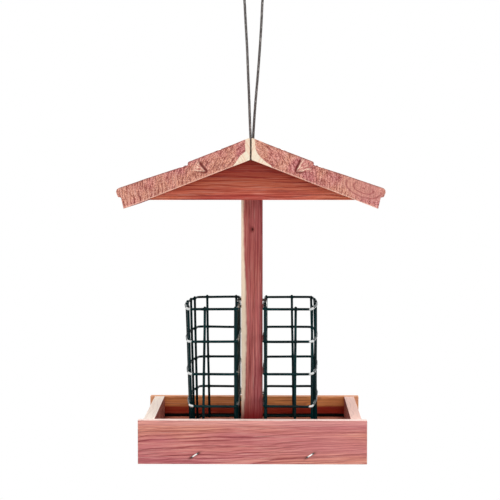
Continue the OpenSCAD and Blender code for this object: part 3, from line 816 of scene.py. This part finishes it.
def ring_line():
    """Points round a cage's ring in mm, from the inner end of its front."""
    corners = [
        (Vector((CORNER_OUT, -CORNER_Y)), CORNER_R, -math.pi / 2, -BOW_TURN),
        (Vector((BOW_X, 0)), BOW_R, -BOW_TURN, BOW_TURN),
        (Vector((CORNER_OUT, CORNER_Y)), CORNER_R, BOW_TURN, math.pi / 2),
        (Vector((CORNER_IN, CORNER_Y)), CORNER_R, math.pi / 2, math.pi),
        (Vector((CORNER_IN, -CORNER_Y)), CORNER_R, math.pi, 1.5 * math.pi),
    ]
    line = [Vector((CORNER_IN, -CORNER_Y - CORNER_R))]
    for centre, radius, start, end in corners:
        steps = max(6, int(radius * (end - start) / RING_GAP))
        turns = [start + (end - start) * i / steps for i in range(steps + 1)]
        line += [centre + radius * Vector((math.cos(a), math.sin(a))) for a in turns]
    ring = even_line([Vector((p.x, p.y, 0)) for p in line], RING_GAP)
    return ring[:-1] if (ring[-1] - ring[0]).length < RING_GAP / 2 else ring


def settle(side, x, y, z, side_lean):
    """Where a point of the drawn cage stands in the real one, whose welded mesh is bent and wavers a little.

    side_lean bows the middle of the outer side out, or in where it is below 0.
    """
    lean = LEAN[side]
    share = (z - CAGE_FOOT) / CAGE_TALL
    back = clamp((y + 10) / 60)
    reach = clamp((x - RING_IN) / 34)
    x += lean["spread"] * back * back * (3 - 2 * back) * reach * (1.15 - 0.3 * share)
    x += share * (lean["back"] * back * min(1, reach * 1.4) + lean["front"] * (1 - back) * reach ** 3)
    x += side_lean * max(0.0, 1 - (y / 58) ** 2) * clamp((reach - 0.7) / 0.3) + lean["out"] * reach ** 3
    x += clamp((y - 42) / 9) * (lean["back_in"] + (lean["back_out"] - lean["back_in"]) * min(1, reach / 0.65))
    x += lean["front_in"] * (1 - back) * (1 - reach ** 3)
    x += 0.5 * noise.noise(Vector((x * 0.03, y * 0.02, z * 0.018 + side * 9))) * share
    y += 0.4 * noise.noise(Vector((x * 0.03 + 5, y * 0.02, z * 0.018 + side * 9))) * share
    return Vector((POST_X + side * x, y, z))


def swollen(away, more):
    """The coated wire's share of its radius at a way from a weld."""
    return THIN + more * math.exp(-(away / WELD_REACH) ** 2)


def coated_wire():
    """Dark green coat with a wet gloss, glossier and painted pale as a highlight where a ring turns round its
    front outer corner.
    """
    paint = Paint("coated_wire", 0.3, 0.02)
    x, y, z = (c / MM for c in paint.spot())
    drift = paint.cloud(x * 0.05, y * 0.05, z * 0.05)
    dapple = paint.cloud(x * 1.4, y * 1.4, z * 1.4, 3.0, 0.6)
    bend = paint.painted("bend")
    colour = paint.mix(drift.step(0.35, 0.65), srgb(0, 22, 24), srgb(0, 38, 40))
    colour = paint.mix(dapple.step(0.6, 0.8) * 0.35, colour, srgb(8, 64, 66))
    # painted highlight: pale coat at the ring's front outer corner
    colour = paint.mix(bend * (0.95 - dapple * 0.5), colour, srgb(226, 232, 230))
    slant = paint.node("LayerWeight", None, {"Blend": 0.5}, "Facing")
    gloss = (slant.step(0.88, 0.99) * 0.99 + 0.01).sum("MAXIMUM", bend)
    paint.set(paint.shader, {"Coat IOR": 4.0, "Coat Roughness": 0.08})
    inputs = {"Base Color": colour, "Roughness": 0.2 + dapple * 0.2, "Coat Weight": gloss}
    return paint.finish(inputs, dapple + drift, 0.12 * MM, 0.3)


def cage_rings(side, ring, sites, material):
    """The rings of a cage, whose coat swells at the welds."""
    name = f"cage_{hand(side)}_ring"
    around = len(ring) * RING_GAP
    lines = []
    for level, height in enumerate(RING_Z):
        wave = 0.0 if level == 0 else RING_WAVE
        line = []
        for p in ring:
            up = wave * noise.noise(Vector((p.x * 0.03, p.y * 0.03, level * 5.0 + side)))
            line.append(settle(side, p.x, p.y, height + up, LEAN[side]["ring_side"]))
        lines.append(line)

    def swell(n, i, at):
        way = i * RING_GAP
        return swollen(min(min(abs(way - s), around - abs(way - s)) for s in sites), RING_SWELL)

    mesh = wire_mesh(name + "_wires", lines, WIRE_R, WIRE_SIDES, closed=True, swell=swell)
    sides = len(mesh.vertices) // (len(lines) * len(ring))
    ways = [(i // sides % len(ring)) * RING_GAP for i in range(len(mesh.vertices))]
    bend_highlights = [clamp(min((way - BEND[0]) / BEND_IN, (BEND[1] - way) / BEND_OUT)) for way in ways]
    mark_points(mesh, "bend", bend_highlights)
    add_piece(name + "_wires", mesh, material, "feeder", "coated_wire", name + "s")


def cage_uprights(side, ring, sites, material):
    """The uprights of a cage, inside its rings, with rounded ends."""
    name = f"cage_{hand(side)}_upright"
    low, top = CAGE_FOOT + FOOT_CUT, RING_Z[-1] + TIP
    tall = top - TOP_CUT - CAGE_FOOT - FOOT_CUT
    heights = [CAGE_FOOT, low] + [low + tall * k / UPRIGHT_CUTS for k in range(1, UPRIGHT_CUTS + 1)]
    heights += [top - 0.55, top - 0.25, top]
    lines = []
    for site in sites:
        i = int(round(site / RING_GAP)) % len(ring)
        ahead = (ring[(i + 1) % len(ring)] - ring[i - 1]).normalized()
        foot = ring[i] + Vector((-ahead.y, ahead.x, 0)) * UPRIGHT_IN
        pressed = PRESSED * max(0.0, 1 - (foot.x - RING_IN - UPRIGHT_IN) / PRESS_REACH)
        line = [settle(side, foot.x - pressed, foot.y, z, LEAN[side]["upright_side"]) for z in heights]
        in_front = foot.y < -CORNER_Y
        if in_front and CORNER_IN + 8 < foot.x < CORNER_OUT - 3:
            at_foot, at_top = LEAN[side]["front_wire"]
            for point in line:
                share = (point.z - CAGE_FOOT) / CAGE_TALL
                point.x += side * (at_foot + (at_top - at_foot) * share)
        lines.append(line)

    def swell(n, i, at):
        last = len(heights) - 1
        end = {0: 0.8, last: 0.3, last - 1: 0.7, last - 2: 0.9}.get(i, 1.0)
        return end * swollen(min(abs(at.z - z) for z in RING_Z), UPRIGHT_SWELL)

    mesh = wire_mesh(name + "_wires", lines, WIRE_R, WIRE_SIDES, swell=swell)
    add_piece(name + "_wires", mesh, material, "feeder", "coated_wire", name + "s")


wire_coat = coated_wire()
wire_ring = ring_line()
for side in (-1, 1):
    weld_sites = [(SEAMS[side] + i * MESH) % (len(wire_ring) * RING_GAP) for i in range(UPRIGHTS)]
    cage_rings(side, wire_ring, weld_sites, wire_coat)
    cage_uprights(side, wire_ring, weld_sites, wire_coat)


# Staples, screws and nail


def metal(name, base, roughness, dirt):
    """A plated metal with dirt spots, dark and dull where the mesh says so: tarnish and painted shade."""
    paint = Paint(name, roughness, 0.5)
    x, y, z = (c / MM for c in paint.spot())
    spots = paint.cloud(x * 1.1, y * 1.1, z * 1.1, 3.0, 0.6)
    brush = paint.cloud(x * 6, y * 6, z * 0.8)
    dull = paint.painted("dull")
    colour = paint.mix(spots.step(0.5, 0.75) * 0.6, srgb(*base), srgb(*dirt))
    # tarnish and painted shade at a staple's ends, where they sink into the wood
    colour = paint.mix(dull * 0.95, colour, srgb(22, 12, 12))
    shine = (0.9 - spots * 0.4) * (1 - dull * 0.9)
    rough = roughness + brush * 0.2 + dull * 0.4
    inputs = {"Base Color": colour, "Metallic": shine, "Roughness": rough}
    return paint.finish(inputs, brush + spots, 0.05 * MM, 0.4)


zinc = metal("galvanised_steel", (232, 231, 228), 0.28, (168, 160, 150))
plated = metal("plated_steel", (214, 206, 176), 0.3, (150, 134, 104))

STAPLE_SHARP, STAPLE_ARRIS = 0.7, 0.28  # radians and mm
CROWN_DEPTH = 0.9  # how far below its top a staple's crown is still flat
DIP, DIP_DEPTH = 0.35, 1.3  # how far a crown's ends dip, and how deep the wire that dips with them goes
CROWN_CUTS = (-0.68, -0.45, -0.22, 0, 0.22, 0.45, 0.68)  # shares of half the crown


def island(start):
    """All vertices joined to one."""
    seen, queue = {start}, [start]
    while queue:
        for edge in queue.pop().link_edges:
            for vertex in edge.verts:
                if vertex not in seen:
                    seen.add(vertex)
                    queue.append(vertex)
    return seen


def bow(shape, one, out):
    """Bows a driven staple's crown so that its ends dip towards the wood, and marks them for tarnish and
    painted shade.
    """
    dull = shape.verts.layers.float["dull"]
    top = max(v.co.dot(out) for v in one)
    crown = [v.co for v in one if top - v.co.dot(out) < CROWN_DEPTH * MM]
    centre = sum(crown, Vector()) / len(crown)
    guess = max(crown, key=lambda c: (c - centre).length) - centre
    along = sum(((c - centre) * math.copysign(1, (c - centre).dot(guess)) for c in crown), Vector())
    along = (along - out * along.dot(out)).normalized()
    half = max(abs((c - centre).dot(along)) for c in crown)
    edges = {e for v in one for e in v.link_edges}
    faces = {f for v in one for f in v.link_faces}
    geometry = [*one, *edges, *faces]
    for share in CROWN_CUTS:
        at = centre + along * half * share
        cut = bmesh.ops.bisect_plane(shape, geom=geometry, dist=CUT_NEAR, plane_co=at, plane_no=along)
        geometry = cut["geom"]
    for vertex in (g for g in geometry if isinstance(g, bmesh.types.BMVert)):
        share = min(1, abs((vertex.co - centre).dot(along)) / half)
        vertex[dull] = clamp((share - 0.4) / 0.3)
        if top - vertex.co.dot(out) < DIP_DEPTH * MM:
            vertex.co -= out * DIP * MM * share ** 3


def driven_staples(node, body, outward):
    """The staples of a node, with round arrises and bowed crowns. outward gives the way out of the wood."""
    shape = merged(node)
    arrises = [e for e in shape.edges if e.is_convex and e.calc_face_angle() > STAPLE_SHARP]
    round_off(shape, arrises, STAPLE_ARRIS)
    shape.verts.layers.float.new("dull")
    staples, left = [], set(shape.verts)
    while left:
        staples.append(island(left.pop()))
        left -= staples[-1]
    for one in staples:
        bow(shape, one, outward(sum((v.co for v in one), Vector()) / len(one)))
    add_piece(node + "_wire", to_mesh(node + "_wire", shape), zinc, body, "staple_steel", node)


def to_front(at):
    return Vector((0, -1, 0))


def to_back(at):
    return Vector((0, 1, 0))


def to_side(at):
    return Vector((math.copysign(1, at.x), 0, 0))


def off_roof(at):
    side = math.copysign(1, at.x - POST_X * MM)
    return Vector((side * math.sin(PITCH), 0, math.cos(PITCH)))


driven_staples("staples_front", "feeder", to_front)
driven_staples("staples_back", "feeder", to_back)
for node in ("staples_sides", "cage_left_staples", "cage_right_staples"):
    driven_staples(node, "feeder", to_side)
driven_staples("roof_staples", "roof", off_roof)

for node, finish, slot in (("post_screws", plated, "screw_steel"), ("cord_nail", zinc, "staple_steel")):
    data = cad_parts[node].data
    data.materials.clear()
    data.materials.append(finish)


# Floor, world and lamps

WORLD_LEVEL = 0.2
WHITE = (1, 1, 1, 1)
FLOOR_GREY = (0.86, 0.86, 0.86, 1)
FLOOR_Z, FLOOR_R = -0.95, 14
FADE = (1.1, 2.3)  # how far from the middle, in metres, the floor turns white for the camera
MIDDLE = (0, 0, -0.2)


def seen_white(nodes):
    """A factor that is 1 for rays from the camera, mirrors and glass, which see the background as white."""
    rays = ("Is Camera Ray", "Is Glossy Ray", "Is Transmission Ray")
    camera_ray, glossy, through = (nodes.node("LightPath", None, None, ray) for ray in rays)
    return camera_ray.sum("MAXIMUM", glossy).sum("MAXIMUM", through)


def studio_world():
    """A dim world that lights the feeder and looks white."""
    world = bpy.data.worlds.new("studio")
    scene.world = world
    world.use_nodes = True
    sky = Nodes(world.node_tree)
    dim = sky.tree.nodes["Background"]
    sky.set(dim, {"Color": WHITE, "Strength": WORLD_LEVEL})
    white = sky.node("Background", None, {"Color": WHITE, "Strength": 1.0})
    both = sky.node("MixShader", None, {0: seen_white(sky), 1: Wire(sky, dim.outputs[0]), 2: white})
    sky.set(sky.tree.nodes["World Output"], {0: both})


def studio_floor():
    """A round pale floor, which looks white where it is far from the feeder."""
    disc = bmesh.new()
    bmesh.ops.create_circle(disc, cap_ends=True, segments=64, radius=FLOOR_R)
    bmesh.ops.translate(disc, verts=disc.verts, vec=(0, 0, FLOOR_Z))
    floor = bpy.data.objects.new("floor", to_mesh("floor", disc))
    scene.collection.objects.link(floor)
    paint = Paint("floor_paint", 0.9, 0.1)
    floor.data.materials.append(paint.material)
    paint.set(paint.shader, {"Base Color": FLOOR_GREY})
    glow = paint.node("Emission", None, {"Strength": 1.0})
    place = paint.node("TexCoord", None, None, "Object")
    far = paint.node("VectorMath", {"operation": "LENGTH"}, {0: place}, "Value").step(*FADE)
    plain = Wire(paint, paint.shader.outputs[0])
    both = paint.node("MixShader", None, {0: seen_white(paint) * far, 1: plain, 2: glow})
    paint.set(paint.tree.nodes["Material Output"], {0: both})


def softbox(name, at, width, height, power):
    """A lamp that points at the feeder's middle. Its place and size are in metres, its power in watts."""
    lamp = bpy.data.lights.new(name, "AREA")
    lamp.shape = "RECTANGLE"
    lamp.size, lamp.size_y, lamp.energy = width, height, power
    holder = bpy.data.objects.new(name, lamp)
    holder.location = at
    holder.rotation_euler = (Vector(MIDDLE) - Vector(at)).to_track_quat("-Z", "Y").to_euler()
    scene.collection.objects.link(holder)


studio_world()
studio_floor()
softbox("front_box", (0.4, -2.15, 0.2), 2.0, 0.9, 15.2)
softbox("left_box", (-1.35, -0.75, -0.1), 0.5, 1.0, 6)
softbox("right_box", (1.35, -0.75, -0.1), 0.5, 1.0, 6)
softbox("low_box", (0, -1.7, -1.25), 1.8, 0.7, 4)
softbox("top_box", (0.0, -0.1, 1.15), 2.0, 1.8, 38.5)

scene.view_settings.view_transform = "Standard"
